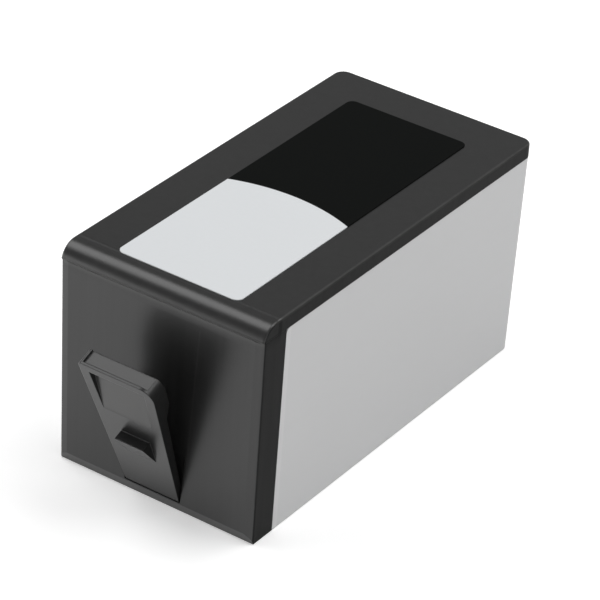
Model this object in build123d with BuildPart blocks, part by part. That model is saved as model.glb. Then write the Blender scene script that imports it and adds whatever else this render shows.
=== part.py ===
from build123d import *
from math import atan2, cos, degrees, radians, sin, tan
import os

# An inkjet ink cartridge that drops into a print carriage and is held by a finger latch.
# A light grey tank holds a foam chamber at the front and a free-ink chamber behind it.
# A dark lid closes the tank and a dark cover wraps round its front.
# Millimetres. The origin is the centre of the base, +Z is up, the latch faces -Y.

# How far joined forms run into each other and cuts run out past a face
merge = 0.5

# Body, measured at its top rim
body_width = 33.0
body_length = 65.4
body_height = 34.0
draft_angle = 0.6
front_corner = 0.4
rear_corner = 1.7
moulding_fit = 0.1

# Lid
lid_depth = 2.15
lid_plate = 1.6
lid_skirt = 1.0
lid_front_skirt = 1.6
lid_front_radius = 2.8
lid_edge_radius = 0.3
lid_rib_thickness = 1.2
lid_rib_depth = 2.0
lid_rib_count = 4
lid_rib_pitch = 7.5
lid_rib_length = 22.0

# Front cover
cover_wrap = 5.1
cover_side_wall = 1.0
cover_floor = 1.0
cover_bevel_width = 1.3
cover_bevel_depth = 0.25
cover_foot_height = 1.45
cover_foot_depth = 0.5
cover_clip_height = 10.0
cover_clip_width = 1.0
cover_clip_depth = 0.35
cover_clip_setback = 3.4

# Tank
tank_wall = 1.1
tank_front_wall = 1.2
tank_floor = 2.2
tank_panel_corner = 0.9
chamber_corner = 0.8
foam_chamber_length = 31.0
partition_thickness = 1.4
slot_width = 8.0
slot_height = 1.8
guide_width = 1.0
guide_depth = 0.5
guide_height = 11.0
guide_spacing = 5.0
floor_rib_width = 1.0
floor_rib_height = 0.8
floor_rib_length = 7.0
floor_rib_pitch = 6.0
floor_rib_count = 4
tongue_width = 5.0
tongue_reach = 1.0
tongue_height = 2.4
tongue_low = 5.0
tongue_spacing = 14.0

# Ink outlet in the base, under the foam
outlet_setback = 16.5
outlet_recess_radius = 8.4
outlet_recess_depth = 1.3
outlet_bore_radius = 5.0
outlet_tower_wall = 1.4
outlet_tower_height = 6.0
screen_radius = 5.6
screen_thickness = 0.15
seal_inner_radius = 5.8
seal_width = 1.2
seal_height = 1.1
seal_lip = 0.3
wick_fit = 0.1
wick_stand = 0.2

# Window prism in the base of the ink chamber
prism_width = 7.0
prism_end_gap = 1.6
prism_roof_angle = 45.0
window_depth = 0.3
window_rim = 0.6

# Memory chip in the base, near the rear
chip_forward = 8.0
board_width = 14.0
board_length = 8.6
board_thickness = 0.8
board_sink = 0.35
board_corner = 0.6
chip_pocket_fit = 0.15
chip_pad_rim = 1.6
contact_count = 4
contact_width = 1.7
contact_length = 4.2
contact_pitch = 2.4
contact_thickness = 0.08
potting_width = 4.6
potting_length = 4.0
potting_depth = 0.7
potting_edge = 0.3
stake_radius = 0.7
stake_head_radius = 1.15
stake_head_height = 0.25
stake_tip = 0.3
stake_spacing = 11.6

# Foam
foam_fit = 0.15
foam_pocket_fit = 0.2
foam_corner = 0.8

# Fill holes, vent and label on the lid
fill_hole_radius = 1.7
fill_head_radius = 2.4
fill_head_height = 0.8
fill_stem_length = 2.4
plug_fit = 0.1
foam_fill_setback = 9.5
ink_fill_forward = 14.1
film_width = 13.0
film_setback = 21.0
film_plug_gap = 1.8
film_thickness = 0.1
film_corner = 0.8
vent_hole_radius = 0.6
vent_groove_width = 0.6
vent_groove_depth = 0.5
vent_run_margin = 3.0
vent_run_pitch = 1.8
vent_run_count = 6
vent_exit_past_film = 2.0
label_width = 19.8
label_length = 54.8
label_setback = 3.45
label_corner = 1.1
label_thickness = 0.12

# Finger latch, hinged at its root in the front cover
latch_x = -0.3
latch_lean_angle = 22.5
latch_travel_angle = 12.0
latch_length = 24.3
latch_root_width = 8.9
latch_head_width = 12.1
latch_root_thickness = 1.0
latch_arm_thickness = 1.55
latch_head_thickness = 2.6
latch_head_length = 5.1
latch_neck_length = 2.0
latch_left_corner = 0.4
latch_right_corner = 2.0
hinge_height = 2.0
hinge_depth = 0.8
hinge_fit = 0.08
relief_length = 8.0
pocket_fit = 0.2
finger_pad_rim = 1.5
finger_pad_top_rim = 1.2
finger_pad_length = 7.4
finger_pad_depth = 0.85
top_rim_front = 0.45
top_rim_end = 0.6
top_step = 0.3
tooth_width = 4.7
tooth_offset = 0.25
tooth_ledge = 12.0
tooth_foot = 7.7
tooth_reach = 1.55

# Places worked out from the sizes above
front_y = -body_length / 2
rear_y = body_length / 2
seam_z = body_height - lid_depth
rim_z = body_height - lid_plate
wrap_y = front_y + cover_wrap
core_side = cover_side_wall + moulding_fit
core_front = lid_front_skirt + moulding_fit
core_corner = rear_corner - core_side
chamber_side = core_side + tank_wall
chamber_front = core_front + tank_front_wall
partition_y = front_y + chamber_front + foam_chamber_length
outlet_y = front_y + outlet_setback
chip_y = rear_y - chip_forward
prism_front = partition_y + partition_thickness + prism_end_gap
prism_rear = chip_y - board_length / 2 - chip_pad_rim - prism_end_gap
prism_length = prism_rear - prism_front
prism_y = (prism_front + prism_rear) / 2
hinge_y = front_y + hinge_depth
foam_fill_y = front_y + foam_fill_setback
ink_fill_y = rear_y - ink_fill_forward
film_front_y = front_y + film_setback
film_length = ink_fill_y - fill_head_radius - plug_fit - film_plug_gap - film_front_y
film_y = film_front_y + film_length / 2
vent_run_length = film_length - 2 * vent_run_margin
latch_root = latch_root_thickness / 2
arm_length = latch_length - latch_head_length - latch_neck_length
arm_flare_angle = degrees(atan2(latch_arm_thickness - latch_root_thickness, arm_length))
back_lean_angle = latch_lean_angle - latch_travel_angle - arm_flare_angle

os.makedirs("parts", exist_ok=True)


def inset(height):
    """How far the tapered skin has come in from the top rim's outline at a height."""
    return (body_height - height) * tan(radians(draft_angle))


def body_block(low, high, side=0.0, front=0.0, rear=0.0, front_radius=0.0, rear_radius=0.0):
    """The body's tapered form between two heights, held back from its skin on each side."""
    with BuildPart() as block:
        for height in (low, high):
            near = front_y + front + inset(height)
            far = rear_y - rear - inset(height)
            with BuildSketch(Plane.XY.offset(height)) as outline:
                with Locations((0, (near + far) / 2)):
                    Rectangle(body_width - 2 * side - 2 * inset(height), far - near)
                if front_radius:
                    fillet(outline.vertices().group_by(Axis.Y)[0], front_radius)
                if rear_radius:
                    fillet(outline.vertices().group_by(Axis.Y)[-1], rear_radius)
        loft(ruled=True)
    return block.part


def latch_plane(lean):
    """Plane through the hinge axis, leaning forward; local Y runs up the latch, Z outwards."""
    outwards = (0, -cos(radians(lean)), -sin(radians(lean)))
    return Plane(origin=(latch_x, hinge_y, hinge_height), x_dir=(1, 0, 0), z_dir=outwards)


def side_plane(lean):
    """Plane across the hinge axis for side profiles; local X runs up the latch, Y inwards."""
    up = (0, -sin(radians(lean)), cos(radians(lean)))
    return Plane(origin=(latch_x, hinge_y, hinge_height), x_dir=up, z_dir=(-1, 0, 0))


def latch_half_width(run):
    """Half the latch's width at a distance up from the hinge."""
    return (latch_root_width + (latch_head_width - latch_root_width) * run / latch_length) / 2


def save(part, name):
    """Labels a finished piece and writes it to its own file."""
    part.label = name
    export_step(part, f"parts/{name}.step")


# Tank: a core that the lid and the front cover slip over, and the grey skin behind the cover
with BuildPart() as tank_body:
    add(body_block(0, seam_z, rear_radius=rear_corner))
    split(bisect_by=Plane.XZ.offset(-wrap_y), keep=Keep.BOTTOM)
    wrap_top = tank_body.faces().sort_by(Axis.Y)[0].edges().sort_by(Axis.Z)[-1]
    fillet(wrap_top, tank_panel_corner)
    add(
        body_block(
            cover_floor + moulding_fit, rim_z, core_side, core_front, core_side, rear_radius=core_corner
        )
    )
    # Rear tongues that hook under the carriage wall
    tongue_y = rear_y - inset(tongue_low)
    for x in (-tongue_spacing / 2, tongue_spacing / 2):
        with BuildSketch(Plane.YZ.offset(x - tongue_width / 2)):
            with BuildLine():
                Polyline(
                    (tongue_y - merge, tongue_low),
                    (tongue_y + tongue_reach / 2, tongue_low),
                    (tongue_y + tongue_reach, tongue_low + tongue_reach / 2),
                    (tongue_y - merge, tongue_low + tongue_height),
                    close=True,
                )
            make_face()
        extrude(amount=tongue_width)
    # Foam chamber and ink chamber, open at the top
    foam_far = rear_y - partition_y
    ink_near = partition_y + partition_thickness - front_y
    for front, rear in ((chamber_front, foam_far), (ink_near, chamber_side)):
        add(
            body_block(
                tank_floor, body_height, chamber_side, front, rear, chamber_corner, chamber_corner
            ),
            mode=Mode.SUBTRACT,
        )
    # Slot that lets ink from the rear chamber reach the foam
    with Locations((0, partition_y + partition_thickness / 2, tank_floor)):
        Box(
            slot_width,
            partition_thickness + 2 * merge,
            slot_height,
            align=(Align.CENTER, Align.CENTER, Align.MIN),
            mode=Mode.SUBTRACT,
        )
    # Air guides that run up the foam side of the partition from the slot
    for x in (-guide_spacing / 2, guide_spacing / 2):
        with Locations((x, partition_y, tank_floor)):
            Box(
                guide_width,
                2 * guide_depth,
                slot_height + guide_height,
                align=(Align.CENTER, Align.CENTER, Align.MIN),
                mode=Mode.SUBTRACT,
            )
    # Ribs that hold the foam off the chamber floor, behind the outlet
    rib_y = (outlet_y + outlet_bore_radius + outlet_tower_wall + partition_y) / 2
    for i in range(floor_rib_count):
        x = (i - (floor_rib_count - 1) / 2) * floor_rib_pitch
        with Locations((x, rib_y, tank_floor)):
            Box(
                floor_rib_width,
                floor_rib_length,
                floor_rib_height,
                align=(Align.CENTER, Align.CENTER, Align.MIN),
            )
    # Outlet tower with its bore, the screen rebate and the recess round it
    with BuildSketch(Plane.XY.offset(tank_floor - merge)):
        with Locations((0, outlet_y)):
            Circle(outlet_bore_radius + outlet_tower_wall)
    extrude(amount=outlet_tower_height - tank_floor + merge)
    with BuildSketch(Plane.XY):
        with Locations((0, outlet_y)):
            Circle(outlet_bore_radius)
    extrude(amount=outlet_tower_height + merge, mode=Mode.SUBTRACT)
    with BuildSketch(Plane.XY):
        with Locations((0, outlet_y)):
            Circle(screen_radius + moulding_fit)
    extrude(amount=outlet_recess_depth + screen_thickness, mode=Mode.SUBTRACT)
    with BuildSketch(Plane.XY):
        with Locations((0, outlet_y)):
            Circle(outlet_recess_radius)
    extrude(amount=outlet_recess_depth, mode=Mode.SUBTRACT)
    # Roof prism inside the ink chamber, and its window recess below
    with BuildSketch(Plane.XZ.offset(-prism_rear)):
        with BuildLine():
            prism_top = tank_floor + prism_width / 2 * tan(radians(prism_roof_angle))
            Polyline(
                (-prism_width / 2, tank_floor - merge),
                (prism_width / 2, tank_floor - merge),
                (prism_width / 2, tank_floor),
                (0, prism_top),
                (-prism_width / 2, tank_floor),
                close=True,
            )
        make_face()
    extrude(amount=prism_length)
    with BuildSketch(Plane.XY):
        with Locations((0, prism_y)):
            RectangleRounded(
                prism_width + 2 * window_rim, prism_length + 2 * window_rim, chamber_corner
            )
    extrude(amount=window_depth, mode=Mode.SUBTRACT)
    # Pad in the ink chamber over the chip, then the pockets for the board and its potting
    board_top = board_sink + board_thickness
    pad_top = board_top + potting_depth + tank_wall
    with BuildSketch(Plane.XY.offset(tank_floor - merge)):
        with Locations((0, chip_y)):
            Rectangle(board_width + 2 * chip_pad_rim, board_length + 2 * chip_pad_rim)
    extrude(amount=pad_top - tank_floor + merge)
    with BuildSketch(Plane.XY):
        with Locations((0, chip_y)):
            RectangleRounded(
                board_width + 2 * chip_pocket_fit, board_length + 2 * chip_pocket_fit, board_corner
            )
    extrude(amount=board_top, mode=Mode.SUBTRACT)
    with BuildSketch(Plane.XY):
        with Locations((0, chip_y)):
            Rectangle(potting_width + 2 * chip_pocket_fit, potting_length + 2 * chip_pocket_fit)
    extrude(amount=board_top + potting_depth, mode=Mode.SUBTRACT)
    # Heat stakes that hold the board, each with its flattened head
    for x in (-stake_spacing / 2, stake_spacing / 2):
        with BuildSketch(Plane.XY.offset(board_sink)):
            with Locations((x, chip_y)):
                Circle(stake_radius)
        extrude(amount=board_thickness + stake_tip)
        with BuildSketch(Plane.XY.offset(board_sink)):
            with Locations((x, chip_y)):
                Circle(stake_head_radius)
        extrude(amount=-stake_head_height)
    # Grooves in the core's sides that the cover's clips snap into
    for side in (-1, 1):
        groove_x = body_width / 2 - core_side
        with Locations((side * groove_x, front_y + cover_clip_setback, body_height / 2)):
            Box(
                2 * (cover_clip_depth + moulding_fit),
                cover_clip_width + 2 * moulding_fit,
                cover_clip_height + 2 * moulding_fit,
                mode=Mode.SUBTRACT,
            )
save(tank_body.part, "tank_body")

# Lid: a plate with a short skirt, its front edge rolled over into the front face
with BuildPart() as top_lid:
    with BuildSketch(Plane.XY.offset(seam_z)) as lid_plan:
        Rectangle(body_width, body_length)
        fillet(lid_plan.vertices().group_by(Axis.Y)[0], front_corner)
        fillet(lid_plan.vertices().group_by(Axis.Y)[-1], rear_corner)
    extrude(amount=lid_depth)
    with BuildSketch(Plane.YZ) as lid_profile:
        with BuildLine():
            Polyline((front_y, 0), (front_y, body_height), (rear_y, body_height), (rear_y, 0), close=True)
        make_face()
        roll = lid_profile.vertices().sort_by_distance((front_y, body_height))[0]
        fillet(roll, lid_front_radius)
    extrude(amount=body_width, both=True, mode=Mode.INTERSECT)
    add(
        body_block(seam_z, rim_z, lid_skirt, lid_front_skirt, lid_skirt, rear_radius=rear_corner - lid_skirt),
        mode=Mode.SUBTRACT,
    )
    top_edges = top_lid.edges().filter_by_position(Axis.Z, body_height - 0.01, body_height + 0.01)
    fillet(top_edges.sort_by(Axis.Y)[1:], lid_edge_radius)
    # Ribs that keep the foam down and leave an air space above it
    for i in range(lid_rib_count):
        rib_y = front_y + chamber_front + foam_chamber_length / 2
        y = rib_y + (i - (lid_rib_count - 1) / 2) * lid_rib_pitch
        with Locations((0, y, rim_z)):
            Box(
                lid_rib_length,
                lid_rib_thickness,
                lid_rib_depth,
                align=(Align.CENTER, Align.CENTER, Align.MAX),
            )
    # Fill holes, each with a seat for the plug's head
    for y in (foam_fill_y, ink_fill_y):
        with Locations((0, y, body_height)):
            CounterBoreHole(fill_hole_radius, fill_head_radius + plug_fit, fill_head_height, lid_plate)
    # Shallow bed for the vent film, with the long vent groove folded to and fro beneath it
    with BuildSketch(Plane.XY.offset(body_height)):
        with Locations((0, film_y)):
            RectangleRounded(film_width + 2 * moulding_fit, film_length + 2 * moulding_fit, film_corner)
    extrude(amount=-film_thickness, mode=Mode.SUBTRACT)
    with BuildSketch(Plane.XY.offset(body_height)):
        for i in range(vent_run_count):
            x = (i - (vent_run_count - 1) / 2) * vent_run_pitch
            with Locations((x, film_y)):
                SlotOverall(vent_run_length, vent_groove_width, rotation=90)
        for i in range(vent_run_count - 1):
            x = (i + 1 - vent_run_count / 2) * vent_run_pitch
            end = (vent_run_length - vent_groove_width) / 2
            turn_y = film_y + (end if i % 2 == 0 else -end)
            with Locations((x, turn_y)):
                SlotOverall(vent_run_pitch + vent_groove_width, vent_groove_width)
        # The last run goes on past the film's front edge, where the air gets in
        vent_x = (vent_run_count - 1) / 2 * vent_run_pitch
        exit_length = (film_length - vent_run_length) / 2 + vent_exit_past_film + vent_groove_width
        exit_y = film_y - vent_run_length / 2 + vent_groove_width - exit_length / 2
        with Locations((vent_x, exit_y)):
            SlotOverall(exit_length, vent_groove_width, rotation=90)
    extrude(amount=-film_thickness - vent_groove_depth, mode=Mode.SUBTRACT)
    vent_y = film_y - (vent_run_length - vent_groove_width) / 2
    with Locations((-vent_x, vent_y, body_height)):
        Hole(vent_hole_radius, lid_plate)
save(top_lid.part, "top_lid")

# Front cover: a tray that slips over the tank's nose, with a bevelled front face
with BuildPart() as front_cover:
    for height in (0, seam_z):
        half = body_width / 2 - inset(height)
        near = front_y + inset(height)
        with BuildSketch(Plane.XY.offset(height)) as cover_plan:
            with BuildLine():
                Polyline(
                    (-half, wrap_y),
                    (-half, near + cover_bevel_depth),
                    (-half + cover_bevel_width, near),
                    (half - cover_bevel_width, near),
                    (half, near + cover_bevel_depth),
                    (half, wrap_y),
                    close=True,
                )
            make_face()
            fillet(cover_plan.vertices().group_by(Axis.Y)[1], front_corner)
    loft(ruled=True)
    add(
        body_block(cover_floor, seam_z, cover_side_wall, lid_front_skirt, cover_side_wall),
        mode=Mode.SUBTRACT,
    )
    # Foot of the front face, sloped back below the ridge
    with BuildSketch(Plane.YZ):
        with BuildLine():
            ridge_y = front_y + inset(cover_foot_height)
            toe_y = front_y + inset(0) + cover_foot_depth
            Polyline(
                (front_y - merge, 0),
                (toe_y, 0),
                (ridge_y, cover_foot_height),
                (front_y - merge, cover_foot_height),
                close=True,
            )
        make_face()
    extrude(amount=body_width, both=True, mode=Mode.SUBTRACT)
    # Clips on the inner faces of the wraps
    for side in (-1, 1):
        clip_x = body_width / 2 - cover_side_wall - inset((body_height + cover_clip_height) / 2)
        with Locations((side * clip_x, front_y + cover_clip_setback, body_height / 2)):
            Box(2 * cover_clip_depth, cover_clip_width, cover_clip_height)
    # Socket for the latch's root bead, and the relief its arm swings back into
    with BuildSketch(side_plane(back_lean_angle)) as relief_profile:
        with BuildLine():
            Polyline(
                (0, 0),
                (0, latch_root + hinge_fit),
                (relief_length, latch_root + hinge_fit),
                (relief_length, -relief_length),
                (0, -relief_length),
                close=True,
            )
        make_face()
    relief = extrude(amount=latch_head_width / 2 + pocket_fit, both=True, mode=Mode.PRIVATE)
    with BuildSketch(latch_plane(0)):
        with BuildLine():
            Polyline(
                (-latch_half_width(0) - pocket_fit, -hinge_height),
                (latch_half_width(0) + pocket_fit, -hinge_height),
                (latch_half_width(0) + pocket_fit, 0),
                (latch_half_width(relief_length) + pocket_fit, relief_length),
                (-latch_half_width(relief_length) - pocket_fit, relief_length),
                (-latch_half_width(0) - pocket_fit, 0),
                close=True,
            )
        make_face()
    swing = extrude(amount=cover_wrap, both=True, mode=Mode.PRIVATE)
    with BuildSketch(side_plane(0)):
        Circle(latch_root + hinge_fit)
    socket = extrude(amount=latch_half_width(0) + pocket_fit, both=True, mode=Mode.PRIVATE)
    add(relief & swing, mode=Mode.SUBTRACT)
    add(socket, mode=Mode.SUBTRACT)
save(front_cover.part, "front_cover")


# Finger latch: a tapered arm on a root bead, with a finger pad at the top and a catch tooth
with BuildPart() as release_latch:
    with BuildSketch(side_plane(latch_lean_angle)):
        with BuildLine():
            Polyline(
                (0, -latch_root),
                (latch_length, -latch_root),
                (latch_length, latch_head_thickness - latch_root),
                (latch_length - latch_head_length, latch_head_thickness - latch_root),
                (arm_length, latch_arm_thickness - latch_root),
                (0, latch_root),
                close=True,
            )
        make_face()
    extrude(amount=latch_head_width, both=True)
    with BuildSketch(latch_plane(latch_lean_angle)) as latch_outline:
        with BuildLine():
            Polyline(
                (-latch_half_width(0), 0),
                (latch_half_width(0), 0),
                (latch_half_width(latch_length), latch_length),
                (-latch_half_width(latch_length), latch_length),
                close=True,
            )
        make_face()
        top_corners = latch_outline.vertices().group_by(Axis.Y)[-1].sort_by(Axis.X)
        fillet(top_corners[0], latch_left_corner)
        right_corner = latch_outline.vertices().sort_by_distance((latch_head_width / 2, latch_length))[0]
        fillet(right_corner, latch_right_corner)
    extrude(amount=latch_length, both=True, mode=Mode.INTERSECT)
    # Finger pad: a hollow that is deepest under the top rim and runs out down the arm
    pad_top = latch_length - finger_pad_top_rim
    pad_low = pad_top - finger_pad_length
    with BuildSketch(side_plane(latch_lean_angle)):
        with BuildLine():
            Polyline(
                (pad_top, -latch_root - merge),
                (pad_top, -latch_root + finger_pad_depth),
                (pad_low, -latch_root),
                (pad_low, -latch_root - merge),
                close=True,
            )
        make_face()
    pad_wedge = extrude(amount=latch_head_width, both=True, mode=Mode.PRIVATE)
    with BuildSketch(latch_plane(latch_lean_angle)) as pad_outline:
        with BuildLine():
            Polyline(
                (-latch_half_width(pad_low) + finger_pad_rim, pad_low),
                (latch_half_width(pad_low) - finger_pad_rim, pad_low),
                (latch_half_width(pad_top) - finger_pad_rim, pad_top),
                (-latch_half_width(pad_top) + finger_pad_rim, pad_top),
                close=True,
            )
        make_face()
    pad_plan = extrude(amount=latch_length, both=True, mode=Mode.PRIVATE)
    add(pad_wedge & pad_plan, mode=Mode.SUBTRACT)
    # Step behind the thin rim of the top end
    step_width = latch_head_width - 2 * top_rim_end
    with BuildSketch(latch_plane(latch_lean_angle).offset(latch_root - top_rim_front)):
        with Locations((0, latch_length - top_step / 2)):
            Rectangle(step_width, top_step)
    extrude(amount=-latch_head_thickness, mode=Mode.SUBTRACT)
    # Catch tooth
    with BuildSketch(side_plane(latch_lean_angle).offset(-tooth_offset - tooth_width / 2)):
        with BuildLine():
            Polyline(
                (tooth_foot, 0),
                (tooth_foot, -latch_root),
                (tooth_ledge, -latch_root - tooth_reach),
                (tooth_ledge, 0),
                close=True,
            )
        make_face()
    extrude(amount=tooth_width)
    # Root bead that turns in the cover's socket
    with BuildSketch(side_plane(0)):
        Circle(latch_root)
    extrude(amount=latch_half_width(0), both=True)
save(release_latch.part, "release_latch")

# Foam block: fills its chamber, with a pocket where the outlet tower presses into it
with BuildPart() as foam_block:
    foam_top = rim_z - lid_rib_depth
    foam_base = tank_floor + floor_rib_height
    add(
        body_block(
            foam_base,
            foam_top,
            chamber_side + foam_fit,
            chamber_front + foam_fit,
            rear_y - partition_y + foam_fit,
            foam_corner,
            foam_corner,
        )
    )
    with BuildSketch(Plane.XY):
        with Locations((0, outlet_y)):
            Circle(outlet_bore_radius + outlet_tower_wall + foam_pocket_fit)
    extrude(amount=outlet_tower_height + wick_stand, mode=Mode.SUBTRACT)
save(foam_block.part, "foam_block")

# Outlet: a felt wick in the tower, a fine screen under it and a rubber seal round it
with BuildPart() as outlet_wick:
    wick_base = outlet_recess_depth + screen_thickness
    with BuildSketch(Plane.XY.offset(wick_base)):
        with Locations((0, outlet_y)):
            Circle(outlet_bore_radius - wick_fit)
    extrude(amount=outlet_tower_height + wick_stand - wick_base)
save(outlet_wick.part, "outlet_wick")

with BuildPart() as outlet_screen:
    with BuildSketch(Plane.XY.offset(outlet_recess_depth)):
        with Locations((0, outlet_y)):
            Circle(screen_radius)
    extrude(amount=screen_thickness)
save(outlet_screen.part, "outlet_screen")

with BuildPart() as outlet_seal:
    with BuildSketch(Plane.XY.offset(outlet_recess_depth)):
        with Locations((0, outlet_y)):
            Circle(seal_inner_radius + seal_width)
            Circle(seal_inner_radius, mode=Mode.SUBTRACT)
    extrude(amount=-seal_height)
    lip = outlet_seal.edges().filter_by(GeomType.CIRCLE).group_by(Axis.Z)[0]
    chamfer(lip, seal_lip)
save(outlet_seal.part, "outlet_seal")

# Memory chip: a small board, its gold contact pads and the potting over its die
with BuildPart() as chip_board:
    with BuildSketch(Plane.XY.offset(board_sink)):
        with Locations((0, chip_y)):
            RectangleRounded(board_width, board_length, board_corner)
        with Locations((-stake_spacing / 2, chip_y), (stake_spacing / 2, chip_y)):
            Circle(stake_radius + plug_fit, mode=Mode.SUBTRACT)
    extrude(amount=board_thickness)
save(chip_board.part, "chip_board")

with BuildPart() as chip_contacts:
    with BuildSketch(Plane.XY.offset(board_sink)):
        with Locations((0, chip_y)):
            with GridLocations(contact_pitch, 0, contact_count, 1):
                Rectangle(contact_width, contact_length)
    extrude(amount=-contact_thickness)
save(chip_contacts.part, "chip_contacts")

with BuildPart() as chip_potting:
    with BuildSketch(Plane.XY.offset(board_sink + board_thickness)):
        with Locations((0, chip_y)):
            Rectangle(potting_width, potting_length)
    extrude(amount=potting_depth - moulding_fit)
    fillet(chip_potting.edges().group_by(Axis.Z)[-1], potting_edge)
save(chip_potting.part, "chip_potting")

# Fill plugs: one for the foam chamber and one for the ink chamber
for name, y in (("foam_fill_plug", foam_fill_y), ("ink_fill_plug", ink_fill_y)):
    with BuildPart() as fill_plug:
        with BuildSketch(Plane.XY.offset(body_height)):
            with Locations((0, y)):
                Circle(fill_head_radius)
        extrude(amount=-fill_head_height)
        with BuildSketch(Plane.XY.offset(body_height - fill_head_height)):
            with Locations((0, y)):
                Circle(fill_hole_radius - plug_fit)
        extrude(amount=-fill_stem_length)
    save(fill_plug.part, name)

# Vent film over the folded groove, and the label that covers it all
with BuildPart() as vent_film:
    with BuildSketch(Plane.XY.offset(body_height - film_thickness)):
        with Locations((0, film_y)):
            RectangleRounded(film_width, film_length, film_corner)
    extrude(amount=film_thickness)
save(vent_film.part, "vent_film")

with BuildPart() as top_label:
    with BuildSketch(Plane.XY.offset(body_height)):
        with Locations((0, front_y + label_setback + label_length / 2)):
            RectangleRounded(label_width, label_length, label_corner)
    extrude(amount=label_thickness)
save(top_label.part, "top_label")
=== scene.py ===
from math import cos, radians, sin

import bpy
import numpy as np
from mathutils import Matrix, Vector


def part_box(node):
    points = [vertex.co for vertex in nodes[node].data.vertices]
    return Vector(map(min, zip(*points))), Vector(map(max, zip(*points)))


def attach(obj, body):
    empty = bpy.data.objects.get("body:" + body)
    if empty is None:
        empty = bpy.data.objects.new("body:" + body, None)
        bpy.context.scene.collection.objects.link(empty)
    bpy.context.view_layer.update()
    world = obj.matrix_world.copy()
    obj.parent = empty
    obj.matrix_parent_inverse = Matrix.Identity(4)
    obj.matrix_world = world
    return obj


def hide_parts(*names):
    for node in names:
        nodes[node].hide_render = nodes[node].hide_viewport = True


# Finishes, light and camera for a box-shaped inkjet ink cartridge.
# Metres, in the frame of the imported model: +Z up, the finger latch faces -Y.

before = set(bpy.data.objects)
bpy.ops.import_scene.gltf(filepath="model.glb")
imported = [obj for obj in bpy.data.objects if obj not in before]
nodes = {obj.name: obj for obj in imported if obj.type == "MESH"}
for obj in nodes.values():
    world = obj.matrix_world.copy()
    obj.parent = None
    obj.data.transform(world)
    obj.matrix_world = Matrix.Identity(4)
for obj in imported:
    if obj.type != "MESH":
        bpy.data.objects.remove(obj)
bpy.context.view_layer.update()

MM = 0.001


def extent(name):
    """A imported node's lowest and highest corners, in millimetres."""
    low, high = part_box(name)
    return low / MM, high / MM


# Places on the object that its finishes refer to, in millimetres
lid_low, lid_high = extent("top_lid")
cover_low, cover_high = extent("front_cover")
label_half_width = extent("top_label")[1].x
board_rear = extent("chip_board")[1].y
screen_low, screen_high = extent("outlet_screen")
seal_low, seal_high = extent("outlet_seal")
seam_height = cover_high.z
wrap_end = cover_high.y

# The tank's grey skin is a little lighter over a narrow margin behind the front cover, a painted
# highlight
margin_width = 0.95

# The finish takes the cover's front to reach this far back from its foremost point
front_depth = 3.0

# The cover draws in by a hair over its top part, where its front runs up under the lid:
# by the curve's number times the square of the climb from where it starts
draw_in_height = 1.5
draw_in_past_seam = 0.3
draw_in_curve = 0.05

# Half heights of the painted shade in the joint under the lid and of the painted highlight on its
# lips, and the width of the painted highlight along the lid's top edges
joint_half_height = 0.05
lip_half_height = 0.2
rim_width = 0.36

# Finger latch: its hinge, its lean in degrees and, up its length, the end of its dull root, the tooth
# and the sunk finger pad; a flare is the half width gained for each millimetre of length
latch_x = -0.3
hinge_depth = 0.8
hinge_y = cover_low.y + hinge_depth
hinge_z = 2.0
latch_lean = 22.5
latch_length = 24.3
latch_end_step = 1.5
latch_back = -0.8
root_end = 9.0
tooth_run = 12.0
tooth_reach = 2.4
pad_low_run = 15.7
pad_high_run = 23.1
pad_half_width = 2.95
pad_flare = 0.0658

# Line that the latch's mould insert leaves up the front: its own half width, its distance from the
# latch's middle at the foot, its flare, and the heights where it starts and ends
insert_line = 0.04
insert_half_width = 5.02
insert_flare = 0.058
insert_foot = 4.0
insert_top = 29.4

# Print on the label: white field in front, black field behind it, parted by an arc whose ends lie
# this far behind the lid's front and whose middle bulges back by the rise
arc_end_from_front = 28.2
arc_rise = 1.95

# Contact pads on the chip board, and the copper tie that joins their runs near its rear edge
pad_pitch = 2.4
pad_count = 4
tie_from_rear = 1.1
tie_half_length = 3.6

# Woven screen in the outlet: wire thickness, distance between wires and play in its seat; the rings
# of points in each pitch; and two shares of half a wire's thickness, for how far it waves up and down
# and for how thick its ends are
wire = 0.075
wire_pitch = 0.3
screen_play = 0.02
rings_per_pitch = 8
wave_share = 0.9
tip_share = 0.02

# Depths of the mould grain on the plastics, and the radius of their worn edges
grain_depth = 0.006
grey_grain_depth = 0.005
worn_radius = 0.2

# Colours of the dark plastic: plain, worn along its edges, lighter for the painted highlights and
# sheen and for the insert's line, and the painted shade down in the joint
charcoal = (0.0130, 0.0131, 0.0130)
worn_charcoal = (0.030, 0.030, 0.029)
highlight_and_line_charcoal = (0.075, 0.075, 0.073)
joint_shade_black = (0.004, 0.004, 0.004)

# Colours of the tank: plain, worn along its edges, and the painted highlight in the margin behind the
# cover
light_grey = (0.600, 0.602, 0.606)
worn_grey = (0.74, 0.74, 0.74)
margin_highlight_grey = (0.66, 0.66, 0.665)

# Colours of the label's coated paper and its ink
paper_white = (0.775, 0.795, 0.810)
ink_black = (0.0035, 0.0042, 0.0038)


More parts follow.
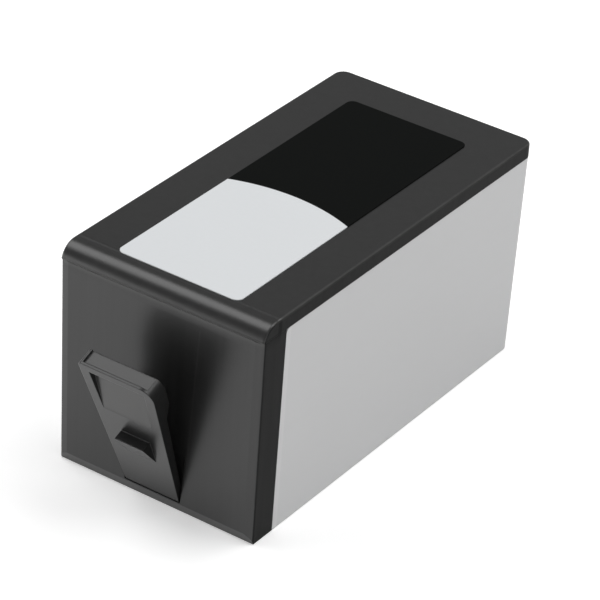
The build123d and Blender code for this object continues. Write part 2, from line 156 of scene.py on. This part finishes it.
class Value:
    """A shader socket that takes part in Python arithmetic by adding Math nodes."""

    def __init__(self, shade, socket):
        self.shade = shade
        self.socket = socket

    def maths(self, operation, *operands):
        """Adds one Math node over values and numbers."""
        inputs = dict(enumerate(operands))
        return self.shade.node("ShaderNodeMath", {"operation": operation}, inputs)

    def __add__(self, other):
        return self.maths("ADD", self, other)

    def __radd__(self, other):
        return self.maths("ADD", other, self)

    def __sub__(self, other):
        return self.maths("SUBTRACT", self, other)

    def __rsub__(self, other):
        return self.maths("SUBTRACT", other, self)

    def __mul__(self, other):
        return self.maths("MULTIPLY", self, other)

    def __rmul__(self, other):
        return self.maths("MULTIPLY", other, self)

    def __truediv__(self, other):
        return self.maths("DIVIDE", self, other)

    def __rtruediv__(self, other):
        return self.maths("DIVIDE", other, self)

    def __neg__(self):
        return self.maths("MULTIPLY", self, -1.0)

    def __abs__(self):
        return self.maths("ABSOLUTE", self)

    def __pow__(self, other):
        return self.maths("POWER", self, other)

    def at_least(self, other):
        """The larger of this value and another."""
        return self.maths("MAXIMUM", self, other)

    def at_most(self, other):
        """The smaller of this value and another."""
        return self.maths("MINIMUM", self, other)

    def fraction(self):
        """What is left of this value over the last whole number below it."""
        return self.maths("FRACT", self)

    def rise(self, start, end):
        """Smooth step: 0 up to start, 1 from end on."""
        settings = {"interpolation_type": "SMOOTHSTEP"}
        inputs = {0: self, 1: start, 2: end, 3: 0.0, 4: 1.0}
        return self.shade.node("ShaderNodeMapRange", settings, inputs)

    def band(self, centre, half, soft):
        """Smooth bump: 1 within half of the centre, 0 beyond half + soft."""
        return 1 - abs(self - centre).rise(half, half + soft)


class Shade:
    """The nodes of a material or a world: node() adds one, end() or principled() ends a material."""

    def __init__(self, name, world=None):
        if world:
            self.tree = world.node_tree
        else:
            self.material = bpy.data.materials.new(name)
            self.material.use_nodes = True
            self.tree = self.material.node_tree
        self.tree.nodes.clear()

    def node(self, kind, settings=None, inputs=None, output=0):
        """Adds a node: its settings first, then its sockets' values or links."""
        made = self.tree.nodes.new(kind)
        for key, value in (settings or {}).items():
            setattr(made, key, value)
        for key, value in (inputs or {}).items():
            if isinstance(value, Value):
                self.tree.links.new(value.socket, made.inputs[key])
            elif isinstance(value, tuple) and made.inputs[key].type == "RGBA":
                made.inputs[key].default_value = (*value, 1.0)
            else:
                made.inputs[key].default_value = value
        return Value(self, made.outputs[output]) if made.outputs else None

    def point(self):
        """Object coordinates in millimetres."""
        place = self.node("ShaderNodeTexCoord", output="Object")
        settings = {"operation": "SCALE"}
        return self.node("ShaderNodeVectorMath", settings, {0: place, "Scale": 1 / MM})

    def split(self, vector):
        """The three parts of a vector."""
        parts = self.node("ShaderNodeSeparateXYZ", inputs={0: vector})
        outputs = parts.socket.node.outputs
        return [Value(self, outputs[i]) for i in range(3)]

    def stretched(self, vector, x, y, z):
        """Coordinates multiplied axis by axis, to draw a texture out along one of them."""
        settings = {"operation": "MULTIPLY"}
        return self.node("ShaderNodeVectorMath", settings, {0: vector, 1: (x, y, z)})

    def noise(self, vector, size, detail=2.0, roughness=0.5):
        """Noise from 0 to 1 with features of about the given size."""
        inputs = {"Vector": vector, "Scale": 1 / size, "Detail": detail, "Roughness": roughness}
        return self.node("ShaderNodeTexNoise", None, inputs)

    def wall_distance(self, vector, size):
        """Distance from the nearest wall between Voronoi cells of about the given size."""
        settings = {"feature": "DISTANCE_TO_EDGE"}
        return self.node("ShaderNodeTexVoronoi", settings, {"Vector": vector, "Scale": 1 / size})

    def mix(self, factor, first, second):
        """Blend of two colours."""
        settings = {"data_type": "RGBA"}
        return self.node("ShaderNodeMix", settings, {0: factor, 6: first, 7: second}, 2)

    def lighter(self, colour, factor):
        """A colour times a value."""
        grey = self.node("ShaderNodeCombineColor", inputs={0: factor, 1: factor, 2: factor})
        settings = {"data_type": "RGBA", "blend_type": "MULTIPLY"}
        return self.node("ShaderNodeMix", settings, {0: 1.0, 6: colour, 7: grey}, 2)

    def rounded(self, radius):
        """Normal rounded over the edges within a radius in millimetres."""
        return self.node("ShaderNodeBevel", {"samples": 6}, {"Radius": radius * MM})

    def edges(self, radius):
        """Normal rounded over the edges within a radius in millimetres, and a mask of those edges."""
        rounded = self.rounded(radius)
        flat = self.node("ShaderNodeNewGeometry", output="Normal")
        settings = {"operation": "DOT_PRODUCT"}
        agreement = self.node("ShaderNodeVectorMath", settings, {0: rounded, 1: flat}, "Value")
        return rounded, (1 - agreement).rise(0.02, 0.2)

    def bump(self, height, depth, normal=None):
        """Bump from a height whose unit stands for a depth in millimetres."""
        inputs = {"Height": height, "Distance": depth * MM, "Strength": 1.0}
        if normal:
            inputs["Normal"] = normal
        return self.node("ShaderNodeBump", None, inputs)

    def skin(self, **inputs):
        """A Principled BSDF; an underscore in a name stands for a space."""
        named = {key.replace("_", " "): value for key, value in inputs.items()}
        return self.node("ShaderNodeBsdfPrincipled", None, named)

    def end(self, surface):
        """Leads a shader to the output; returns the finished material."""
        self.node("ShaderNodeOutputMaterial", None, {"Surface": surface})
        return self.material

    def principled(self, **inputs):
        """A whole material of one Principled BSDF."""
        return self.end(self.skin(**inputs))


def dress(name, material):
    """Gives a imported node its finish."""
    slots = nodes[name].data.materials
    if len(slots):
        slots[0] = material
    else:
        slots.append(material)


def grain(shade, point):
    """Height of a spark-eroded mould texture: fine rounded pits over a faint waviness."""
    pits = shade.noise(point, 0.22, 3.0, 0.6)
    waves = shade.noise(point, 2.5, 1.0)
    return pits * 0.8 + waves * 0.2


def along_latch(forward, upward):
    """The part of a place or direction that runs up the latch, from its parts along -Y and +Z."""
    return forward * sin(radians(latch_lean)) + upward * cos(radians(latch_lean))


def out_of_latch(forward, upward):
    """The part of a place that stands out from the latch's face, from its parts along -Y and +Z."""
    return forward * cos(radians(latch_lean)) - upward * sin(radians(latch_lean))


def latch_masks(x, y, z, facing):
    """Masks of the latch's dull root and square end, of its crisp tooth and of its pad, which gets a
    painted sheen.
    """
    run = along_latch(hinge_y - y, z - hinge_z)
    root = 1 - run.rise(root_end - 12.0, root_end)
    end = run.rise(latch_length - latch_end_step, latch_length - latch_end_step + 0.2)
    end = end * along_latch(-facing[1], facing[2]).rise(0.85, 0.95)
    tooth = run.band(tooth_run, tooth_reach, 0.4)
    pad = run.rise(pad_low_run - 0.2, pad_low_run + 0.8)
    pad = pad * (1 - run.rise(pad_high_run - 0.1, pad_high_run))
    across = abs(x - latch_x) - run * pad_flare
    pad = pad * (1 - across.rise(pad_half_width - 0.1, pad_half_width + 0.05))
    pad = pad * out_of_latch(hinge_y - y, z - hinge_z).rise(latch_back, latch_back + 0.2)
    return root * 0.6 + end * 0.22, tooth, pad


def joint_shade_and_lip_highlight(shade, colour, z, front, dullness):
    """Paints shade into the joint under the lid on the sides, and a painted highlight on its lips on
    the front.
    """
    # Painted shade in the joint under the lid, on the sides
    line = z.band(seam_height, joint_half_height, 0.07)
    colour = shade.mix(line * dullness * 0.85, colour, joint_shade_black)
    # Painted highlight on the joint's lips, on the front
    lips = z.band(seam_height, lip_half_height, 0.5)
    return shade.mix(lips * front * (1 - dullness) * 0.24, colour, highlight_and_line_charcoal)


def insert_mark(shade, colour, x, z):
    """Adds the faint line that the latch's mould insert leaves up the front on its right."""
    witness = (x - latch_x - z * insert_flare).band(insert_half_width, insert_line, 0.16)
    witness = witness * z.rise(insert_foot, insert_foot + 4.0)
    witness = witness * (1 - z.rise(insert_top, insert_top + 1.0))
    return shade.mix(witness * 0.14, colour, highlight_and_line_charcoal)


def rim_highlights(shade, colour, x, z, clouds):
    """Lightens the long top edges of the lid: a painted highlight along their rounding."""
    rim = abs(x).rise(lid_high.x - rim_width, lid_high.x - rim_width + 0.1)
    rim = rim * z.rise(lid_high.z - rim_width, lid_high.z - rim_width + 0.1)
    return shade.mix(rim * (0.15 + clouds * 0.4), colour, highlight_and_line_charcoal)


def draw_in(z, front):
    """How far the cover draws in under the lid, in grain depths: the curve times the climb squared."""
    climb = (z - (seam_height - draw_in_height)).at_least(0.0)
    climb = climb.at_most(draw_in_height + draw_in_past_seam)
    return climb * climb * front * (draw_in_curve / grain_depth)


def dark_moulding(name, joint_line=False, latch=False):
    """Satin charcoal plastic with a fine mould grain, faint draw streaks and softly worn edges."""
    shade = Shade(name)
    point = shade.point()
    x, y, z = shade.split(point)
    streaks = shade.noise(shade.stretched(point, 0.9, 0.9, 0.03), 0.8, 4.0, 0.6)
    clouds = shade.noise(point, 9.0, 2.0)
    rounded, edge = shade.edges(worn_radius)
    height = grain(shade, point)
    # The sides slide out along the mould and come out duller than the front and the top
    facing = shade.split(shade.node("ShaderNodeNewGeometry", output="Normal"))
    dullness = abs(facing[0]).rise(0.6, 0.95)
    wear = edge * 0.3
    if latch:
        dull_ends, tooth, pad = latch_masks(x, y, z, facing)
        dullness = dullness.at_least(dull_ends)
        wear = wear * (1 - tooth)
    colour = shade.lighter(charcoal, 0.50 + streaks * 0.84 + clouds * 0.16)
    colour = shade.mix(wear, colour, worn_charcoal)
    if latch:
        # The latch's pad is lightened: a painted sheen
        colour = shade.mix(pad * (0.32 + clouds * 0.26), colour, highlight_and_line_charcoal)
    if joint_line:
        front = 1 - (y - cover_low.y).rise(front_depth, front_depth + 1.0)
        # Painted shade in the joint and a painted highlight on its lips
        colour = joint_shade_and_lip_highlight(shade, colour, z, front, dullness)
        colour = insert_mark(shade, colour, x, z)
        # Painted highlight along the lid's long top edges
        colour = rim_highlights(shade, colour, x, z, clouds)
        height = height - draw_in(z, front)
    rough = 0.28 + streaks * 0.05 + clouds * 0.02
    normal = shade.bump(height, grain_depth, rounded)
    satin = shade.skin(Base_Color=colour, Roughness=rough, Normal=normal, IOR=1.57)
    dull = shade.skin(Base_Color=colour, Roughness=rough + 0.14, Normal=normal, IOR=1.12)
    return shade.end(shade.node("ShaderNodeMixShader", None, {0: dullness, 1: satin, 2: dull}))


def grey_moulding(name):
    """Satin light grey plastic, with a painted highlight over a narrow margin behind the front cover.
    """
    shade = Shade(name)
    point = shade.point()
    rounded, edge = shade.edges(worn_radius)
    clouds = shade.noise(point, 12.0, 2.0)
    streaks = shade.noise(shade.stretched(point, 0.5, 0.06, 0.5), 1.0, 3.0)
    tone = 0.965 + clouds * 0.03 + streaks * 0.02
    colour = shade.lighter(light_grey, tone)
    colour = shade.mix(edge * 0.35, colour, worn_grey)
    # Painted highlight over the margin behind the cover
    margin = 1 - (shade.split(point)[1] - wrap_end).rise(margin_width, margin_width + 0.2)
    colour = shade.mix(margin * 0.5, colour, margin_highlight_grey)
    rough = 0.42 + clouds * 0.10
    normal = shade.bump(grain(shade, point), grey_grain_depth, rounded)
    return shade.principled(Base_Color=colour, Roughness=rough, Normal=normal, IOR=1.5)


def printed_label(name):
    """Coated label film: a white field in front of a black one, with a circular arc between them.

    The arc's radius is the sum of the squares of the label's half width and of the rise, divided by
    twice the rise.
    """
    shade = Shade(name)
    point = shade.point()
    x, y = shade.split(point)[:2]
    radius = (label_half_width**2 + arc_rise**2) / (2 * arc_rise)
    behind_centre = y - (lid_low.y + arc_end_from_front + arc_rise - radius)
    reach = (x * x + behind_centre * behind_centre) ** 0.5
    black = (reach - radius).rise(-0.05, 0.05)
    paper = shade.noise(point, 0.5, 4.0, 0.6)
    clouds = shade.noise(point, 14.0, 1.0)
    white = shade.lighter(paper_white, 0.97 + paper * 0.03 + clouds * 0.02)
    ink = shade.lighter(ink_black, 0.9 + paper * 0.2)
    colour = shade.mix(black, white, ink)
    rough = 0.42 + paper * 0.12
    normal = shade.bump(paper, 0.004, shade.rounded(0.1))
    return shade.principled(
        Base_Color=colour, Roughness=rough, Normal=normal, IOR=1.45, Specular_IOR_Level=0.05
    )


def plug_moulding(name):
    """Softer dark plastic of the fill plugs: a little dull, cloudy and worn at the edges."""
    shade = Shade(name)
    point = shade.point()
    rounded, edge = shade.edges(0.12)
    clouds = shade.noise(point, 1.4, 3.0)
    colour = shade.lighter((0.016, 0.016, 0.017), 0.85 + clouds * 0.3)
    colour = shade.mix(edge * 0.4, colour, (0.05, 0.05, 0.05))
    normal = shade.bump(grain(shade, point), grain_depth, rounded)
    return shade.principled(Base_Color=colour, Roughness=0.46 + clouds * 0.1, Normal=normal)


def soaked_foam(name):
    """Ink-soaked open-cell foam: thin wet struts, with painted shade darkening the rounded pores
    between them.
    """
    shade = Shade(name)
    point = shade.point()
    strut = 1 - shade.wall_distance(point, 0.55).rise(0.03, 0.16)
    fine = 1 - shade.wall_distance(point, 0.24).rise(0.03, 0.20)
    wet = shade.noise(point, 6.0, 3.0)
    # The pores are painted near black as shade
    colour = shade.mix(strut, (0.0035, 0.0035, 0.0045), (0.032, 0.032, 0.038))
    colour = shade.lighter(colour, 0.7 + wet * 0.6)
    normal = shade.bump(strut * 0.7 + fine * 0.3, 0.16)
    return shade.principled(Base_Color=colour, Roughness=0.62 - wet * 0.25, Normal=normal)


def pressed_felt(name):
    """Pressed fibre felt: two crossing layers of short fibres, darkened by ink."""
    shade = Shade(name)
    point = shade.point()
    along = shade.noise(shade.stretched(point, 1.0, 0.14, 0.5), 0.11, 3.0, 0.6)
    across = shade.noise(shade.stretched(point, 0.14, 1.0, 0.5), 0.11, 3.0, 0.6)
    fibre = along.at_least(across)
    soak = shade.noise(point, 3.0, 2.0)
    colour = shade.mix(fibre.rise(0.45, 0.75), (0.008, 0.008, 0.010), (0.060, 0.060, 0.066))
    colour = shade.lighter(colour, 0.7 + soak * 0.6)
    normal = shade.bump(fibre, 0.10)
    return shade.principled(Base_Color=colour, Roughness=0.75 - soak * 0.2, Normal=normal)


def screen_steel(name):
    """Stainless wire, with painted shade near one level of the weave, where the wires cross."""
    shade = Shade(name)
    point = shade.point()
    drawn = shade.noise(point, 0.06, 3.0)
    # Painted shade where the wires cross
    low_wire_shade = 1 - abs(shade.split(point)[2] - (screen_low.z + wire)).rise(0.01, wire)
    colour = shade.mix(low_wire_shade * 0.5, (0.62, 0.61, 0.59), (0.20, 0.195, 0.19))
    rough = 0.26 + drawn * 0.14
    normal = shade.bump(drawn, 0.004)
    return shade.principled(Base_Color=colour, Metallic=1.0, Roughness=rough, Normal=normal)


def seal_rubber(name):
    """Soft black rubber with a fine matt skin and the flash line of its mould round the middle."""
    shade = Shade(name)
    point = shade.point()
    rounded, edge = shade.edges(0.1)
    bloom = shade.noise(point, 1.8, 3.0)
    skin = shade.noise(point, 0.14, 2.0)
    flash = shade.split(point)[2].band((seal_low.z + seal_high.z) / 2, 0.03, 0.04)
    pale = bloom.rise(0.45, 0.8) * 0.5 + edge * 0.2
    colour = shade.mix(pale, (0.011, 0.011, 0.012), (0.036, 0.036, 0.038))
    normal = shade.bump(skin * 0.4 + flash * 0.6, 0.03, rounded)
    return shade.principled(Base_Color=colour, Roughness=0.56 + bloom * 0.14, Normal=normal)


def circuit_board(name):
    """Green solder mask over copper runs that lead from the pads; pale laminate on the cut edges."""
    shade = Shade(name)
    point = shade.point()
    x, y = shade.split(point)[:2]
    facing = shade.node("ShaderNodeNewGeometry", output="Normal")
    flat = abs(shade.split(facing)[2]).rise(0.4, 0.6)
    cell = (x / pad_pitch).fraction()
    row_half_length = pad_pitch * pad_count / 2
    inside = 1 - abs(x).rise(row_half_length - 0.05, row_half_length)
    run = cell.band(0.5, 0.055, 0.02) * inside
    tie = y.band(board_rear - tie_from_rear, 0.14, 0.05)
    tie = tie * (1 - abs(x).rise(tie_half_length, tie_half_length + 0.1))
    copper = run.at_least(tie)
    cloth = shade.noise(shade.stretched(point, 1.0, 0.3, 1.0), 0.3, 3.0)
    mask = shade.mix(copper, (0.006, 0.062, 0.030), (0.020, 0.130, 0.055))
    mask = shade.lighter(mask, 0.88 + cloth * 0.24)
    laminate = shade.lighter((0.33, 0.31, 0.17), 0.7 + cloth * 0.6)
    colour = shade.mix(flat, laminate, mask)
    normal = shade.bump(copper * 0.8 + cloth * 0.2, 0.035)
    rough = 0.62 - flat * 0.3
    return shade.principled(
        Base_Color=colour, Roughness=rough, Normal=normal, Coat_Weight=flat * 0.5, Coat_Roughness=0.2
    )


def pad_gold(name):
    """Gold-plated pads: a fine satin with brushing marks along them and duller rims."""
    shade = Shade(name)
    point = shade.point()
    brushed = shade.noise(shade.stretched(point, 1.0, 0.05, 1.0), 0.07, 3.0)
    tarnish = shade.noise(point, 0.8, 3.0)
    rounded, edge = shade.edges(0.05)
    colour = shade.mix(tarnish.rise(0.4, 0.9) * 0.4, (0.83, 0.58, 0.22), (0.62, 0.40, 0.15))
    normal = shade.bump(brushed, 0.003, rounded)
    rough = 0.20 + brushed * 0.14 + edge * 0.1
    return shade.principled(Base_Color=colour, Metallic=1.0, Roughness=rough, Normal=normal)


def potting_resin(name):
    """Cured black resin with a gently uneven glossy skin."""
    shade = Shade(name)
    point = shade.point()
    swell = shade.noise(point, 1.6, 2.0)
    specks = shade.noise(point, 0.12, 2.0)
    colour = shade.lighter((0.0075, 0.0075, 0.0082), 0.8 + specks * 0.4)
    normal = shade.bump(swell * 0.9 + specks * 0.1, 0.08)
    return shade.principled(Base_Color=colour, Roughness=0.20 + specks * 0.12, Normal=normal)


def sealing_film(name):
    """Thin pale sealing film, slightly rippled and milky where it was pressed down."""
    shade = Shade(name)
    point = shade.point()
    ripple = shade.noise(shade.stretched(point, 1.0, 0.35, 1.0), 1.3, 2.0)
    pressed = shade.noise(point, 3.5, 3.0)
    colour = shade.lighter((0.62, 0.63, 0.64), 0.86 + pressed * 0.2)
    normal = shade.bump(ripple, 0.03)
    return shade.principled(Base_Color=colour, Roughness=0.22 + pressed * 0.2, Normal=normal)


dark = dark_moulding("charcoal_moulding", joint_line=True)
for name in ("top_lid", "front_cover"):
    dress(name, dark)
dress("release_latch", dark_moulding("charcoal_latch", latch=True))
plug = plug_moulding("plug_moulding")
for name in ("foam_fill_plug", "ink_fill_plug"):
    dress(name, plug)
dress("tank_body", grey_moulding("light_grey_moulding"))
dress("top_label", printed_label("printed_label"))
dress("vent_film", sealing_film("sealing_film"))
dress("foam_block", soaked_foam("soaked_foam"))
dress("outlet_wick", pressed_felt("pressed_felt"))
dress("outlet_seal", seal_rubber("seal_rubber"))
dress("chip_board", circuit_board("circuit_board"))
dress("chip_contacts", pad_gold("pad_gold"))
dress("chip_potting", potting_resin("potting_resin"))


def surface(name, points, faces, material, body, slot):
    """Makes a piece of points in millimetres and quads, and hangs it on a body."""
    mesh = bpy.data.meshes.new(name)
    mesh.from_pydata((points * MM).tolist(), [], faces.tolist())
    mesh.update()
    mesh.materials.append(material)
    piece = bpy.data.objects.new(name, mesh)
    bpy.context.scene.collection.objects.link(piece)
    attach(piece, body)
    return piece


def woven_screen(centre, radius):
    """Plain weave: wire n lies at offset n times the pitch and runs along its chord of the disc.

    Along a wire the height is wave_share times half the wire's thickness times the cosine of pi times
    the distance over the pitch, turned over on every other wire and again for the wires that cross,
    so that they pass over and under. Each wire is a four-sided tube whose two end rings are drawn
    together to a point.
    """
    count = int(radius / wire_pitch - 0.5)
    number = np.arange(-count, count + 1)
    offsets = number * wire_pitch
    turned = np.where(number % 2 == 0, 1.0, -1.0)
    half_chord = np.sqrt(radius**2 - offsets**2)
    steps = int(rings_per_pitch * radius / wire_pitch) + 1
    run = np.linspace(-1.0, 1.0, steps)[None, :] * half_chord[:, None]
    corner = np.arange(4) * np.pi / 2 + np.pi / 4
    thin = np.ones(steps)
    thin[[0, -1]] = tip_share
    sideways = offsets[:, None, None] + wire / 2 * thin[None, :, None] * np.cos(corner)
    along = np.broadcast_to(run[:, :, None], sideways.shape)
    points = []
    for flip in (1.0, -1.0):
        wave = wire / 2 * wave_share * flip * turned[:, None] * np.cos(np.pi * run / wire_pitch)
        height = wave[:, :, None] + wire / 2 * thin[None, :, None] * np.sin(corner)
        if flip > 0:
            points.append(np.stack([along, sideways, height], axis=-1))
        else:
            points.append(np.stack([sideways, -along, height], axis=-1))
    points = np.stack(points).reshape(-1, 3) + np.array(centre)
    wires = 2 * len(offsets)
    start = np.arange(wires)[:, None, None] * steps * 4
    ring = np.arange(steps - 1)[None, :, None] * 4
    edge = np.arange(4)[None, None, :]
    nearby = (edge + 1) % 4
    here = start + ring
    corners = [here + edge, here + 4 + edge, here + 4 + nearby, here + nearby]
    faces = np.stack(corners, axis=-1)
    return points, faces.reshape(-1, 4)[:, ::-1]


screen_centre = (screen_low + screen_high) / 2
screen_radius = (screen_high.x - screen_low.x) / 2 - screen_play
points, faces = woven_screen(screen_centre, screen_radius)
steel = screen_steel("screen_steel")
weave = surface("outlet_weave", points, faces, steel, "cartridge", "screen_steel")
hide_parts("outlet_screen")

# Studio: a pale floor just under the object, soft boxes and a soft world; metres
floor_reach = 4.0
floor_level = -0.00005
floor_white = (0.94, 0.94, 0.94)
near_glow = 0.39
far_glow = 0.8
world_strength = 0.27
world_rise = 0.07
white = (1.0, 1.0, 1.0)
middle = Vector((0.0, 0.0, 0.017))

floor_mesh = bpy.data.meshes.new("floor")
corners = [
    (side_x * floor_reach, side_y * floor_reach, floor_level)
    for side_x, side_y in ((-1, -1), (1, -1), (1, 1), (-1, 1))
]
floor_mesh.from_pydata(corners, [], [(0, 1, 2, 3)])
floor = bpy.data.objects.new("floor", floor_mesh)
bpy.context.scene.collection.objects.link(floor)

paint = Shade("floor_paint")
seen = paint.node("ShaderNodeLightPath", output="Is Camera Ray")
shine = paint.node("ShaderNodeLightPath", output="Is Glossy Ray")
clear = paint.node("ShaderNodeLightPath", output="Is Transmission Ray")
floor_surface = paint.node("ShaderNodeBsdfDiffuse", None, {"Color": floor_white})
# The floor's own light grows with the distance, as the lamps' light falls off; it is seen by the
# camera, in reflections and through clear pieces, and lights nothing else
floor_x, floor_y = paint.split(paint.node("ShaderNodeTexCoord", output="Object"))[:2]
far = (floor_x * floor_x + floor_y * floor_y) ** 0.5
own_light = (seen + shine + clear) * (near_glow + far.rise(0.08, 0.25) * far_glow)
glow = paint.node("ShaderNodeEmission", None, {"Color": white, "Strength": own_light})
both = paint.node("ShaderNodeAddShader", None, {0: floor_surface, 1: glow})
paint.node("ShaderNodeOutputMaterial", None, {"Surface": both})
floor.data.materials.append(paint.material)

world = bpy.data.worlds.new("studio")
world.use_nodes = True
bpy.context.scene.world = world
sky = Shade("studio", world=world)
direction = sky.node("ShaderNodeTexCoord", output="Generated")
# The world is a little lighter behind the object than in front of it
behind = sky.split(direction)[1]
strength = world_strength + behind.rise(-0.3, 0.6) * world_rise
background = sky.node("ShaderNodeBackground", None, {"Color": white, "Strength": strength})
sky.node("ShaderNodeOutputWorld", None, {"Surface": background})


def bearing(azimuth, elevation):
    """Unit vector away from the object; azimuth 0 is in front of it and 90 on its right."""
    a, e = radians(azimuth), radians(elevation)
    return Vector((sin(a) * cos(e), -cos(a) * cos(e), sin(e)))


def soft_box(name, azimuth, elevation, distance, width, height, power):
    """A rectangular lamp on a bearing that looks at the object's middle; metres and watts."""
    away = bearing(azimuth, elevation)
    lamp = bpy.data.lights.new(name, "AREA")
    lamp.shape = "RECTANGLE"
    lamp.size, lamp.size_y, lamp.energy = width, height, power
    stand = bpy.data.objects.new(name, lamp)
    stand.location = middle + away * distance
    stand.rotation_euler = away.to_track_quat("Z", "Y").to_euler()
    bpy.context.scene.collection.objects.link(stand)


soft_box("left_box", -80, 58, 0.8, 0.5, 0.4, 2.05)
soft_box("top_box", 125, 62, 0.8, 0.5, 0.5, 2.4)
soft_box("front_box", -50, 8, 0.9, 0.5, 0.2, 1.6)
soft_box("right_box", 70, 15, 0.9, 0.6, 0.35, 0.85)

# Camera: the photograph's bearing, roll and lens, from the box's edges in the picture
camera_azimuth = 32.938
camera_elevation = 31.632
camera_roll = -3.857
camera_place = (0.216514, -0.333754, 0.261604)
camera_lens = 202.168
camera_data = bpy.data.cameras.new("camera")
camera_data.lens = camera_lens
camera_data.sensor_width = 36.0
camera_data.clip_start, camera_data.clip_end = 0.01, 20.0
camera = bpy.data.objects.new("camera", camera_data)
back = bearing(camera_azimuth, camera_elevation)
turn = back.to_track_quat("Z", "Y").to_matrix() @ Matrix.Rotation(radians(-camera_roll), 3, "Z")
camera.matrix_world = Matrix.Translation(camera_place) @ turn.to_4x4()
bpy.context.scene.collection.objects.link(camera)
bpy.context.scene.camera = camera
bpy.context.scene.view_settings.view_transform = "Standard"
